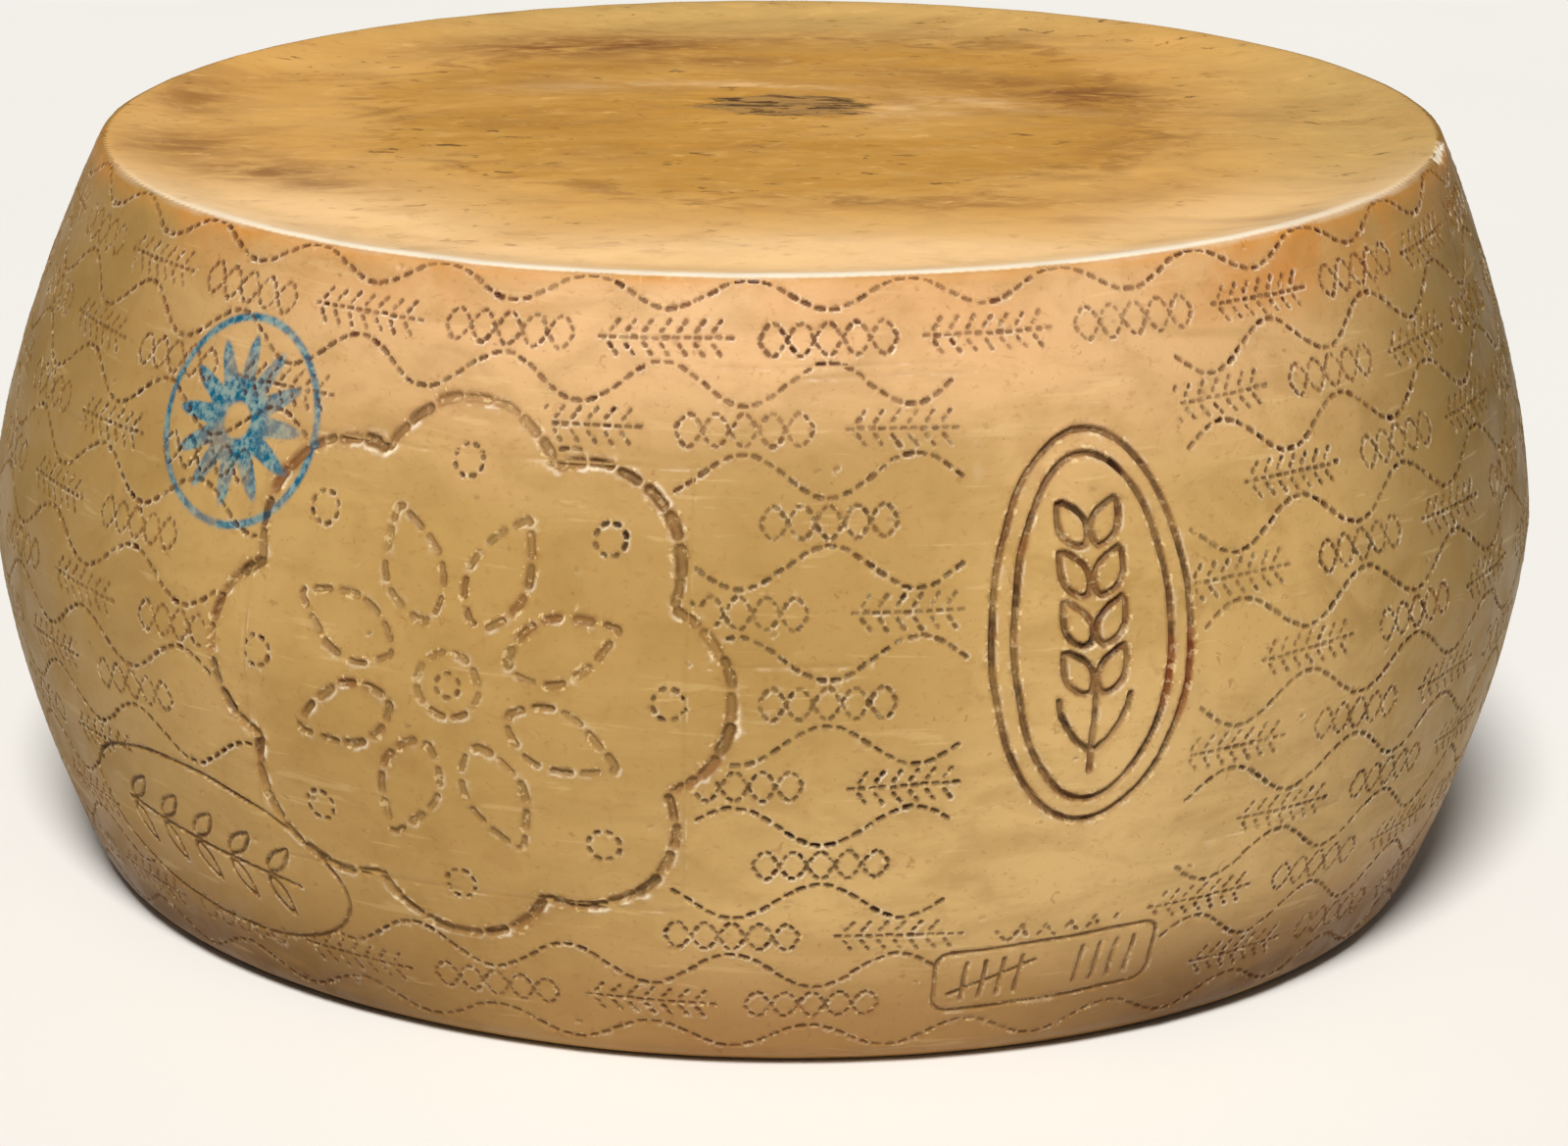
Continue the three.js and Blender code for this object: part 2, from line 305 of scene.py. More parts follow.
def pressDashes(mark, points, tool, pitch, fill, strength=1.0, bare=None, parts=1, palest=0.8):
    # dashes along a path, each bent with it in that many parts
    line = np.asarray(points, float)
    lengths = alongPath(line)
    count = max(1, round(lengths[-1] / pitch))
    pitch = lengths[-1] / count
    dash = max(0.05 * pitch, fill * pitch - 0.85 * tool["width"])
    for k in range(count):
        shift = chance.normal(0, 0.07 * tool["width"], 2)
        force = chance.uniform(0.7, 1.15)
        tone = chance.uniform(palest, 1.08)
        broad = chance.uniform(0.8, 1.15)
        reach = dash * chance.uniform(0.82, 1.08)
        at = (k + 0.5) * pitch + reach * np.linspace(-0.5, 0.5, parts + 1)
        xs = np.interp(at, lengths, line[:, 0]) + shift[0]
        ys = np.interp(at, lengths, line[:, 1]) + shift[1]
        place = onRind(mark, xs[0], ys[0])
        if bare and bare(*place):
            continue
        row = min(gridRows - 1, max(0, int(place[1] / rowStep)))
        column = int((place[0] + math.pi / 2) / columnStep) % gridColumns
        worn = min(1.0, 0.4 + 0.85 * wearMap[row, column])
        for i in range(parts):
            first = onRind(mark, xs[i], ys[i])
            pressStroke(first, onRind(mark, xs[i + 1], ys[i + 1]), tool, strength * force * worn, tone, broad)


def turned(points, degrees, across=0.0, up=0.0):
    c = math.cos(math.radians(degrees))
    s = math.sin(math.radians(degrees))
    return [(x * c - y * s + across, x * s + y * c + up) for x, y in points]


def ellipse(halfWidth, halfHeight, count=72):
    turns = np.linspace(0, fullTurn, count + 1)
    return [(halfWidth * math.cos(t), halfHeight * math.sin(t)) for t in turns]


def almond(length, width, steps=18):
    shares = (np.arange(steps) + 0.5) / steps
    right = [(width / 2 * math.sin(math.pi * s ** 0.8), length * s) for s in shares]
    left = [(-x, y) for x, y in reversed(right)]
    return right + left + right[:1]


rosette = {
    "angle": -20.9, "height": 108 * mm, "radius": 74 * mm,
    "scallops": 8, "scallopDashes": 7, "notch": 11 * mm,
    "petalRoot": 17 * mm, "petalLength": 32 * mm, "petalWidth": 16.5 * mm, "petalDash": 8.4 * mm,
    "eye": 8.5 * mm, "eyeDash": 6.6 * mm, "pupil": 3.2 * mm,
    "ringAt": 58 * mm, "ring": 4.2 * mm, "ringDash": 3.3 * mm,
}


def rosetteRadius(turn):
    # the scalloped outline, at an angle from straight up
    sector = fullTurn / rosette["scallops"]
    share = (turn / sector + 0.5) % 1
    return rosette["radius"] - rosette["notch"] * (1 - np.sin(math.pi * share) ** 0.8)


def pressRosette():
    sector = fullTurn / rosette["scallops"]
    for k in range(rosette["scallops"]):
        turns = np.linspace((k - 0.5) * sector, (k + 0.5) * sector, 41)
        radii = rosetteRadius(np.clip(turns, turns[0] + 1e-6, turns[-1] - 1e-6))
        scallop = [(r * math.sin(t), r * math.cos(t)) for r, t in zip(radii, turns)]
        dash = alongPath(scallop)[-1] / rosette["scallopDashes"]
        pressDashes(rosette, scallop, tools["outline"], dash, 1.0, parts=4, palest=0.3)
        petal = turned(almond(rosette["petalLength"], rosette["petalWidth"]), 0, 0, rosette["petalRoot"])
        petal = turned(petal, -math.degrees(sector) * (k + 0.5))
        pressDashes(rosette, petal, tools["figure"], rosette["petalDash"], 0.8, parts=4)
        across = rosette["ringAt"] * math.sin(k * sector)
        up = rosette["ringAt"] * math.cos(k * sector)
        ring = turned(ellipse(rosette["ring"], rosette["ring"], 24), 0, across, up)
        pressDashes(rosette, ring, tools["dotted"], rosette["ringDash"], 0.66)
    eye = ellipse(rosette["eye"], rosette["eye"])
    pressDashes(rosette, eye, tools["figure"], rosette["eyeDash"], 0.8, parts=3)
    pupil = ellipse(rosette["pupil"], rosette["pupil"])
    pressDashes(rosette, pupil, tools["dotted"], rosette["ringDash"], 0.66)


emblem = {
    "angle": 22.9, "height": 123 * mm, "halfWidth": 28 * mm, "halfHeight": 51 * mm, "ringGap": 6 * mm,
    "stemFoot": -37 * mm, "stemTop": -14 * mm,
    "kernels": 4, "kernelLength": 14 * mm, "kernelWidth": 7.4 * mm, "kernelLean": 30, "kernelStep": 12.5 * mm,
    "blade": ((1, -31), (4.5, -28.5), (7, -25), (9, -21), (10, -17)),     # in mm
    "plateSides": (13.6, 30.8), "plateFoot": 42 * mm,                     # degrees, and height
}


def pressEmblem():
    e = emblem
    burnt = tools["scorched"]
    for inset in (0, e["ringGap"]):
        pressLine(e, ellipse(e["halfWidth"] - inset, e["halfHeight"] - inset), burnt)
    pressLine(e, [(0, e["stemFoot"]), (0, e["stemTop"])], burnt)
    for row in range(e["kernels"]):
        foot = e["kernelStep"] * row - 16 * mm
        for side in (-1, 1):
            kernel = almond(e["kernelLength"], e["kernelWidth"])
            pressLine(e, turned(kernel, -side * e["kernelLean"], side * 1.6 * mm, foot), burnt)
    for side in (-1, 1):
        pressLine(e, [(side * x * mm, y * mm) for x, y in e["blade"]], burnt)


ovalSeal = {
    "angle": -44.5, "height": 43.5 * mm, "halfWidth": 50 * mm, "halfHeight": 24 * mm, "tilt": -8,
    "stem": 34 * mm, "leaves": 5, "leafLength": 13 * mm, "leafWidth": 4.6 * mm, "leafLean": 38,
    "plateX": 48 * mm, "plateY": 22 * mm,
}


def pressOvalSeal():
    o = ovalSeal
    pressLine(o, turned(ellipse(o["halfWidth"], o["halfHeight"]), o["tilt"]), tools["thin"])
    pressLine(o, turned([(-o["stem"], 0), (o["stem"], 0)], o["tilt"]), tools["thin"])
    for foot in np.linspace(-32 * mm, 23 * mm, o["leaves"]):
        for side in (-1, 1):
            leaf = almond(o["leafLength"], o["leafWidth"])
            leaf = turned(leaf, side * (90 - o["leafLean"]) - 90, foot, side * mm)
            pressLine(o, turned(leaf, o["tilt"]), tools["thin"])


dateBox = {
    "angle": 22.5, "height": 27 * mm, "width": 62 * mm, "depth": 20 * mm, "corner": 4 * mm, "tilt": 3,
    "tallies": (-23, -18, -13, -8, 9, 14, 19, 24), "tallyRise": 6 * mm,     # places in mm
    "plateX": 33 * mm, "plateY": 12 * mm,
}


def pressDateBox():
    d = dateBox
    outline = []
    for quarter in range(4):
        middleX = (d["width"] / 2 - d["corner"]) * (1 if quarter in (0, 3) else -1)
        middleY = (d["depth"] / 2 - d["corner"]) * (1 if quarter < 2 else -1)
        for step in range(5):
            turn = math.pi / 2 * (quarter + step / 4)
            outline.append((middleX + d["corner"] * math.cos(turn), middleY + d["corner"] * math.sin(turn)))
    pressLine(d, turned(outline + outline[:1], d["tilt"]), tools["thin"])
    for x in d["tallies"]:
        stroke = [((x - 0.5) * mm, -d["tallyRise"]), ((x + 0.5) * mm, d["tallyRise"])]
        pressLine(d, turned(stroke, d["tilt"]), tools["thin"])
    crossing = [(-27 * mm, -4 * mm), (-4 * mm, 4 * mm)]
    pressLine(d, turned(crossing, d["tilt"]), tools["thin"])


# Fine rows all round: dashed waves, with a sprig in each of their hollows

rows = {
    "count": 9,
    "lowestArc": 27.3 * mm,
    "pitch": 22.85 * mm,
    "firstAngle": 4.6,       # of a sprig in the top row
    "stepAngle": 12.0,
    "waveHeight": 5.5 * mm,
    "waveDash": 3.7 * mm,
    "sprigLength": 35 * mm,
    "sprigDash": 2.6 * mm,
    "fill": 0.8,
    "clear": 3.5 * mm,       # rind left bare round the rosette
    "earGrains": 7,
    "earRise": 4.9 * mm,
    "plaitRise": 4.2 * mm,
    "plaitTurns": 2.5,
}


def flatPlace(mark, angle, arc):
    # where a point of the rind lies in a mark's flat drawing
    x = (angle - math.radians(mark["angle"])) * radiusAt(arcOf(mark["height"]))
    return turned([(x, arc - arcOf(mark["height"]))], -mark.get("tilt", 0))[0]


def bareZone(angle, arc):
    # the plates of the large marks keep the rows away
    angle = (angle + math.pi) % fullTurn - math.pi
    x, y = flatPlace(rosette, angle, arc)
    if math.hypot(x, y) < rosetteRadius(math.atan2(x, y)) + rows["clear"]:
        return True
    left, right = emblem["plateSides"]
    plateTop = rows["lowestArc"] + 7.75 * rows["pitch"]
    if left < math.degrees(angle) < right and arcOf(emblem["plateFoot"]) < arc < plateTop:
        return True
    x, y = flatPlace(dateBox, angle, arc)
    if abs(x) < dateBox["plateX"] and abs(y) < dateBox["plateY"]:
        return True
    x, y = flatPlace(ovalSeal, angle, arc)
    return (x / ovalSeal["plateX"]) ** 2 + (y / ovalSeal["plateY"]) ** 2 < 1


def earLines(length):
    # a stem with pairs of slanted grains
    lines = [[(-length / 2, 0), (length / 2, 0)]]
    for k in range(rows["earGrains"]):
        x = -0.42 * length + k * 0.125 * length
        for side in (-1, 1):
            lines.append([(x, side * 1.1 * mm), (x + 2.8 * mm, side * rows["earRise"])])
    return lines


def plaitLines(length):
    # two strands wound round each other
    shares = np.linspace(-0.5, 0.5, 49)
    rises = rows["plaitRise"] * np.cos(rows["plaitTurns"] * fullTurn * shares)
    return [np.stack([length * shares, side * rises], 1) for side in (-1, 1)]


def pressRows():
    turns = round(360 / rows["stepAngle"])
    for row in range(rows["count"] + 1):
        waveArc = rows["lowestArc"] + (row - 0.5) * rows["pitch"]
        sprigArc = rows["lowestArc"] + row * rows["pitch"]
        parity = (rows["count"] - 1 - row) % 2
        first = math.radians(rows["firstAngle"] + parity * rows["stepAngle"] / 2)
        step = math.radians(rows["stepAngle"])
        waveMark = {"angle": 0, "height": heightOf(waveArc)}
        radius = radiusAt(waveArc)
        angles = np.linspace(-math.pi, math.pi, turns * 16 + 1)
        high = rows["waveHeight"] * (0.72 if row in (0, rows["count"]) else 1)     # lower at the rim and foot
        rise = high * np.cos((angles - first) / step * fullTurn)
        points = np.stack([angles * radius, rise], 1)
        pressDashes(waveMark, points, tools["dotted"], rows["waveDash"], rows["fill"], bare=bareZone)
        if row == rows["count"]:
            continue
        for k in range(turns):
            mark = {"angle": math.degrees(first + k * step), "height": heightOf(sprigArc)}
            middle = onRind(mark, 0, 0)
            reach = rows["sprigLength"] / 2 / radius
            # a sprig is left out where a plate would cut off more than a bit of it
            tests = [middle[0] + share * reach for share in (-0.9, -0.4, 0, 0.4, 0.9)]
            if sum(bareZone(angle, middle[1]) for angle in tests) > 1:
                continue
            lines = earLines(rows["sprigLength"]) if (k + row) % 2 else plaitLines(rows["sprigLength"])
            tilt = chance.uniform(-2, 2)
            depth = chance.uniform(0.8, 1.1)
            for line in lines:
                path = turned(line, tilt)
                pressDashes(mark, path, tools["tiny"], rows["sprigDash"], rows["fill"], depth, bareZone)


# Faint plate edges, the seam of the forming band, nicks, and the ink stamp

def pressPlates():
    for mark, halfX, halfY, force in ((rosette, 62 * mm, 60 * mm, 0.7), (emblem, 31 * mm, 56 * mm, 0.35)):
        edge = [(-halfX, -halfY), (halfX, -halfY), (halfX, halfY), (-halfX, halfY), (-halfX, -halfY)]
        pressLine(mark, edge, tools["plate"], force)
    for angle, height, width in ((5, 190, 60), (9, 187.5, 44), (2, 118, 40), (40, 60, 50), (-62, 150, 60)):
        mark = {"angle": angle, "height": height * mm}
        pressLine(mark, [(-width / 2 * mm, 0), (width / 2 * mm, 0.6 * mm)], tools["plate"], 0.8)


seam = {"angle": 67, "lean": 0.20, "step": 0.55 * mm, "fade": 22 * mm, "wave": 1.6 * mm}


def bandSeam():
    # the band's overlap leaves a low step that fades out to one side
    up = rowArc[:, None]
    girth = fullTurn * wheelShape["radius"]
    lean = (up - arcOf(wheelShape["bulgeHeight"])) * seam["lean"]
    across = (columnAngle[None, :] - math.radians(seam["angle"])) * wheelShape["radius"] - lean
    across = (across + girth / 2) % girth - girth / 2
    across = across + seam["wave"] * rindCloud(2, 71, 2)
    onHeel = ease(up, 8 * mm, 16 * mm) * (1 - ease(up, crestArc - 14 * mm, crestArc - 6 * mm))
    drop = seam["step"] * ease(across, -0.8 * mm, 0.8 * mm) * np.exp(-np.maximum(across, 0) / seam["fade"])
    line = np.exp(-(across / (1.3 * mm)) ** 2)
    return drop * onHeel, line * onHeel


nickCount = 260


def pressNicks():
    nick = dict(tools["tiny"])
    for k in range(nickCount):
        angle = chance.uniform(-math.pi, math.pi)
        arc = chance.uniform(6 * mm, crestArc - 3 * mm)
        size = chance.uniform(0.3, 1.4) * mm
        turn = chance.uniform(-0.6, 0.6)
        nick["width"] = chance.uniform(0.6, 1.3) * mm
        nick["stain"] = chance.uniform(0.1, 0.6)
        nick["rust"] = chance.uniform(0, 0.5)
        r = radiusAt(arc)
        end = (angle + size * math.cos(turn) / r, arc + size * math.sin(turn))
        pressStroke((angle, arc), end, nick, chance.uniform(0.2, 0.6))


stamp = {
    "angle": -41.0, "height": 164.4 * mm, "halfWidth": 27 * mm, "halfHeight": 27.5 * mm,
    "line": 1.9 * mm, "rays": 12,
}


def inkStamp():
    # an oval ring with a sunburst, printed unevenly
    x = (columnAngle[None, :] - math.radians(stamp["angle"])) * radiusAt(arcOf(stamp["height"]))
    y = rowArc[:, None] - arcOf(stamp["height"])
    x, y = np.broadcast_arrays(x, y)
    reach = np.hypot(x / stamp["halfWidth"], y / stamp["halfHeight"])
    ring = 1 - ease(np.abs(reach - 1) * stamp["halfWidth"], 0.3 * stamp["line"], 0.8 * stamp["line"])
    turn = np.arctan2(x, y)
    rayEdge = 0.62 + 0.2 * np.cos(turn * stamp["rays"])
    burst = (1 - ease(reach, rayEdge - 0.04, rayEdge + 0.04)) * ease(reach, 0.15, 0.2)
    patchy = ease(rindCloud(5, 23, 4), -0.5, 0.15)
    fading = ease(turn * 0.18 - x / (60 * mm) + 0.9, 0.2, 0.9)
    near = reach < 1.3
    fill = burst * (0.6 + 0.4 * patchy) * (0.75 + 0.25 * fading)
    ink = np.maximum(ring * (0.6 + 0.4 * fading) * (0.75 + 0.25 * patchy), fill)
    return np.where(near, ink, 0)


pressRows()
pressPlates()
pressRosette()
pressEmblem()
pressOvalSeal()
pressDateBox()
pressNicks()
rind = shapeStrokes()
inkMap = inkStamp()
print("marks pressed")

seamDrop, seamLine = bandSeam()

rim = {
    # of the pale line, a painted highlight along the crest, which is drawn further in where the wheel faces
    # the front
    "narrow": 1.6 * mm, "wider": 2.9 * mm, "wander": 0.9 * mm, "inward": 3.4 * mm, "glow": 9 * mm,
    "under": 4.6 * mm, "underWidth": 2.4 * mm,     # the band below it: amber, with a little brown painted as shade under the crest
    "unevenness": 0.5 * mm,
}
chipShape = {
    "angle": 79, "below": 2 * mm, "halfSize": (15 * mm, 2.4 * mm), "reach": 30 * mm, "depth": 0.7 * mm,
}
rindWear = {
    "swell": 0.28 * mm,
    "hammered": 0.10 * mm,
    "skin": 0.05 * mm,             # nothing comes nearer to the frame's solid than this
    "footFade": 5 * mm,            # the relief dies out above the base's edge
    "worn": (16 * mm, 52 * mm),    # the marks fade between these arcs, towards the foot
}

# the chip in the rim, and the relief of the whole rind
chipX = (columnAngle[None, :] - math.radians(chipShape["angle"])) * crestRadius
chipY = rowArc[:, None] - crestArc + chipShape["below"]
chip = spot(chipX, chipY, (0, 0), chipShape["halfSize"]) + 0.45 * rindCloud(12, 83, 3)
chip = ease(chip, 0.5, 0.85) * (np.hypot(chipX, chipY) < chipShape["reach"])
offset = rindWear["swell"] * rindCloud(0.5, 31, 2) + rindWear["hammered"] * rindCloud(3, 37, 2)
offset = offset - seamDrop - wheelShape["keptInside"] - chipShape["depth"] * chip
offset = offset + rind["lip"] * (1 - np.clip(rind["pit"] / (0.4 * mm), 0, 1)) - rind["pit"]
offset = np.minimum(offset, -rindWear["skin"])
footFade = ease(rowArc, 0, rindWear["footFade"])[:, None]
offset = offset * footFade - rindWear["skin"] * (1 - footFade)

# where the rind is stained, rusty or inked, and where highlight and shade are painted on it
rustPatch = ease(rindCloud(1.6, 53, 3), 0.1, 0.7)
lipPatch = ease(rindCloud(9, 59, 2), -0.1, 0.45)
facing = 0.5 + 0.5 * np.cos(columnAngle)[None, :]     # 1 at the front, 0 at the back
# the pale line along the crest and the glow inside it are painted highlight, drawn only on the half of the
# wheel that faces the front
rimWidth = rim["narrow"] + rim["wider"] * facing ** 3 + rim["wander"] * rindCloud(1, 67, 2, up=0)
pastCrest = rowArc[:, None] - crestArc + 0.6 * mm + rim["unevenness"] * rindCloud(3, 61, 3, up=0)
fromLine = pastCrest - rim["inward"] * facing ** 3
rimHighlight = (1 - ease(np.abs(fromLine), 0.35 * rimWidth, 0.95 * rimWidth)) * ease(facing, 0.55, 0.97)
glow = 0.3 * np.exp(-(fromLine / rim["glow"]) ** 2) * (fromLine > 0) * ease(facing, 0.5, 1.0)
rimHighlight = np.maximum(rimHighlight, glow)
underRim = np.exp(-((fromLine + rim["under"]) / rim["underWidth"]) ** 2)
worn = 0.5 + 0.5 * ease(rowArc, *rindWear["worn"])[:, None]
masks = {
    "stain": np.maximum(rind["stain"] * worn * (0.75 + 0.25 * lipPatch), 0.4 * seamLine),
    # the band under the rim line adds a little brown here, painted shade under the crest
    "rust": np.maximum(rind["rust"] * (0.35 + 0.9 * rustPatch), 0.3 * seamLine + 0.2 * rustPatch * underRim),
    # pale: painted highlight on the raised lips, which are highest at their lower right
    "pale": np.clip(rind["lip"] / (0.22 * mm), 0, 1) * lipPatch * worn * (1 - np.clip(rind["stain"], 0, 1)),
    "ink": inkMap,
    # painted highlight along the crest, and the pale chip
    "rim": np.maximum(rimHighlight, 0.75 * chip),
    "amber": underRim * (0.35 + 0.65 * rustPatch) * (1 - chip),
}


# Mesh of the heel: fine cells only where the marks need them

fields = [(masks[name], grid["maskError"]) for name in ("stain", "ink", "pale")]
fields.append((offset, grid["reliefError"]))


def bends(at, before, after):
    # where a field leaves the straight line between two neighbours by more than its limit
    found = False
    for field, limit in fields:
        found = found | (np.abs(field[at] - (field[before] + field[after]) / 2) > limit)
    return found


def chooseVertices():
    # from the finest cells to the coarsest
    at = np.ix_
    kept = np.zeros((gridRows, gridColumns), bool)
    kept[::grid["evenStep"], ::grid["evenStep"]] = True
    fine = grid["filletStep"]
    inFillet = (rowArc < grid["fineFoot"]) | (rowArc > crestArc - grid["fineRim"])
    kept[::fine, ::fine] |= inFillet[::fine, None]
    step = 1
    while step < grid["tile"]:
        evenRows = np.arange(0, gridRows, 2 * step)
        evenColumns = np.arange(0, gridColumns, 2 * step)
        oddRows = np.arange(step, gridRows, 2 * step)
        oddColumns = np.arange(step, gridColumns, 2 * step)
        down = oddRows - step
        up = oddRows + step
        left = (oddColumns - step) % gridColumns
        right = (oddColumns + step) % gridColumns
        # vertices halfway along level and upright edges
        level = kept[at(evenRows, oddColumns)]
        level |= bends(at(evenRows, oddColumns), at(evenRows, left), at(evenRows, right))
        kept[at(evenRows, oddColumns)] = level
        upright = kept[at(oddRows, evenColumns)]
        upright |= bends(at(oddRows, evenColumns), at(down, evenColumns), at(up, evenColumns))
        kept[at(oddRows, evenColumns)] = upright
        # the cell middles that those need, and those with an error of their own
        middles = at(oddRows, oddColumns)
        even = (left // (2 * step) + (down // (2 * step))[:, None]) % 2 == 0
        rising = bends(middles, at(down, left), at(up, right))
        falling = bends(middles, at(down, right), at(up, left))
        middle = kept[middles] | level[:-1] | level[1:] | upright | np.roll(upright, -1, axis=1)
        middle |= np.where(even, rising, falling)
        kept[middles] = middle
        # each kept middle needs the two corners of its cell that lie off its diagonal
        for wanted, pairs in ((middle & even, ((-1, 1), (1, -1))), (middle & ~even, ((-1, -1), (1, 1)))):
            r, c = np.nonzero(wanted)
            for rise, along in pairs:
                kept[oddRows[r] + rise * step, (oddColumns[c] + along * step) % gridColumns] = True
        step *= 2
    return kept


def cutTriangles(kept):
    # right triangles, halved for as long as the middle of their long side is a kept vertex
    tile = grid["tile"]
    corners = []
    for t in range(grid["tiles"]):
        left, right = t * tile, (t + 1) * tile
        if t % 2 == 0:
            corners.append(((right, tile), (left, 0), (right, 0)))
            corners.append(((left, 0), (right, tile), (left, tile)))
        else:
            corners.append(((right, 0), (left, tile), (left, 0)))
            corners.append(((left, tile), (right, 0), (right, tile)))
    uncut = np.array(corners)
    done = []
    for halving in range(2 * int(math.log2(tile))):
        middle = (uncut[:, 0] + uncut[:, 1]) // 2
        split = kept[middle[:, 1], middle[:, 0] % gridColumns]
        done.append(uncut[~split])
        parent = uncut[split]
        middle = middle[split]
        first = np.stack([parent[:, 2], parent[:, 0], middle], 1)
        second = np.stack([parent[:, 1], parent[:, 2], middle], 1)
        uncut = np.concatenate([first, second])
    done.append(uncut)
    return np.concatenate(done)


kept = chooseVertices()
heelCells = cutTriangles(kept)
print("heel triangles", len(heelCells))
cornerColumn = heelCells[:, :, 0] % gridColumns
cornerRow = heelCells[:, :, 1]
flat = cornerRow * gridColumns + cornerColumn
used, heelFaces = np.unique(flat.ravel(), return_inverse=True)
heelFaces = heelFaces.reshape(-1, 3)
usedRow = used // gridColumns
usedColumn = used % gridColumns
lift = offset[usedRow, usedColumn]
radius = rowRadius[usedRow] + rowNormal[usedRow, 0] * lift
height = rowHeight[usedRow] + rowNormal[usedRow, 1] * lift
height = np.where(usedRow == 0, 0, np.maximum(height, 0))
angle = columnAngle[usedColumn]
heelX = radius * np.sin(angle)
heelPoints = np.stack([heelX, -radius * np.cos(angle), skewed(heelX, height)], 1)


# The two faces: rings of points from the heel's edge to the middle

faceShape = {"step": 2.6 * mm, "fineStep": 1.3 * mm, "fineRadius": 66 * mm}
topSpots = {
    # middle and half size in mm, turn and strength of each patch on the top face, as seen from above
    "brown": [
        ((-56, 124), (36, 15), 0.15, 1.0), ((-22, 102), (26, 9), -0.1, 0.6), ((92, 50), (22, 18), -0.6, 1.0),
        ((66, 68), (20, 10), -0.3, 0.7), ((40, 84), (24, 7), -0.2, 0.5), ((-163, -20), (17, 20), 0.0, 0.6),
        ((-140, -50), (24, 14), -0.5, 0.75), ((-121, -70), (18, 10), -0.4, 0.6),
        ((-168, 42), (10, 22), 0.2, 0.6),
        ((54, -91), (30, 7), 0.1, 0.6), ((150, 30), (18, 8), 0.6, 0.25), ((20, 140), (70, 10), 0.0, 0.3),
        ((100, -20), (20, 12), 0.9, 0.35), ((-62, 20), (22, 14), 0.4, 0.3),
    ],
    "grey": [((4, 34), (23, 14), -0.1, 1.0)],
    "clear": [
        ((10, -165), (130, 29), 0.0, 1.0), ((-118, -118), (60, 30), -0.75, 0.8),
        ((118, -112), (60, 22), 0.75, 0.5), ((-176, -10), (8, 60), 0.0, 0.12), ((40, 27), (13, 11), 0.6, 1.2),
        ((-52, 62), (26, 5), 0.16, 0.8), ((-6, 64), (26, 4), -0.12, 0.9), ((62, 40), (26, 6), -0.5, 0.8),
    ],
}


def topLift(x, y):
    broad = 0.5 * mm * cloud(x / 0.05 + 40, y / 0.05 + 40, 91, 97, 3)
    flakes = cloud(x / 0.011 + 60, y / 0.003 + 60, 95, 199, 2) * 0.9 * mm
    rough = 0.16 * mm * cloud(x / 0.009 + 60, y / 0.006 + 60, 99, 199, 2)
    grey = spotsAt("grey", x, y)
    return broad + rough + flakes * grey - 0.5 * mm


def spotsAt(name, x, y):
    total = np.zeros_like(x)
    for middle, half, turn, strength in topSpots[name]:
        patch = strength * spot(x, y, (middle[0] * mm, middle[1] * mm), (half[0] * mm, half[1] * mm), turn)
        total = np.maximum(total, patch)
    return total


def zipRings(outer, outerAngles, inner, innerAngles, upward):
    # triangles between two rings, walking once round both
    faces = []
    i = 0
    j = 0
    n = len(outer)
    m = len(inner)
    while i < n or j < m:
        nextOuter = outerAngles[i + 1] if i + 1 < n else outerAngles[0] + fullTurn
        nextInner = innerAngles[j + 1] if j + 1 < m else innerAngles[0] + fullTurn
        if j >= m or (i < n and nextOuter <= nextInner):
            face = (outer[i % n], outer[(i + 1) % n], inner[j % m])
            i += 1
        else:
            face = (outer[i % n], inner[(j + 1) % m], inner[j % m])
            j += 1
        faces.append(face if upward else face[::-1])
    return faces


def buildFace(firstId, edgeRow, edgeRadius, upward, heightAt):
    edge = np.nonzero(usedRow == edgeRow)[0]
    edge = edge[np.argsort(usedColumn[edge])]
    outer = edge
    outerAngles = columnAngle[usedColumn[edge]]
    points = []
    faces = []
    nextId = firstId
    k = 0
    r = edgeRadius
    while r > 2 * faceShape["fineStep"]:
        step = faceShape["fineStep"] if upward and r < faceShape["fineRadius"] else faceShape["step"]
        r -= step
        k += 1
        count = max(8, int(fullTurn * r / step))
        angles = (np.arange(count) + k % 2 / 2) * fullTurn / count - math.pi / 2
        x = r * np.sin(angles)
        y = -r * np.cos(angles)
        points.append(np.stack([x, y, heightAt(x, y, r)], 1))
        ids = np.arange(nextId, nextId + count)
        nextId += count
        faces += zipRings(outer, outerAngles, ids, angles, upward)
        outer = ids
        outerAngles = angles
    centre = np.zeros(1)
    points.append(np.stack([centre, centre, heightAt(centre, centre, 0.0)], 1))
    for i in range(len(outer)):
        face = (outer[i], outer[(i + 1) % len(outer)], nextId)
        faces.append(face if upward else face[::-1])
    return np.concatenate(points), np.array(faces)


def topHeightAt(x, y, r):
    innerEdge = crestRadius - wheelShape["lipWidth"]
    fade = ease(innerEdge - np.hypot(x, y), 0, 14 * mm)
    level = wheelShape["heelHeight"] - wheelShape["dishDepth"] - wheelShape["keptInside"] * (1 - fade)
    return skewed(x, level + fade * topLift(x, y))


def baseHeightAt(x, y, r):
    inward = ease(rowRadius[0] - np.hypot(x, y), 2 * mm, 20 * mm)
    return inward * 0.35 * mm * (1 + cloud(x / 0.03 + 50, y / 0.03 + 50, 121, 97, 3))


topPoints, topFaces = buildFace(len(used), gridRows - 1, rowRadius[-1], True, topHeightAt)
basePoints, baseFaces = buildFace(len(used) + len(topPoints), 0, rowRadius[0], False, baseHeightAt)
print("face triangles", len(topFaces), len(baseFaces))


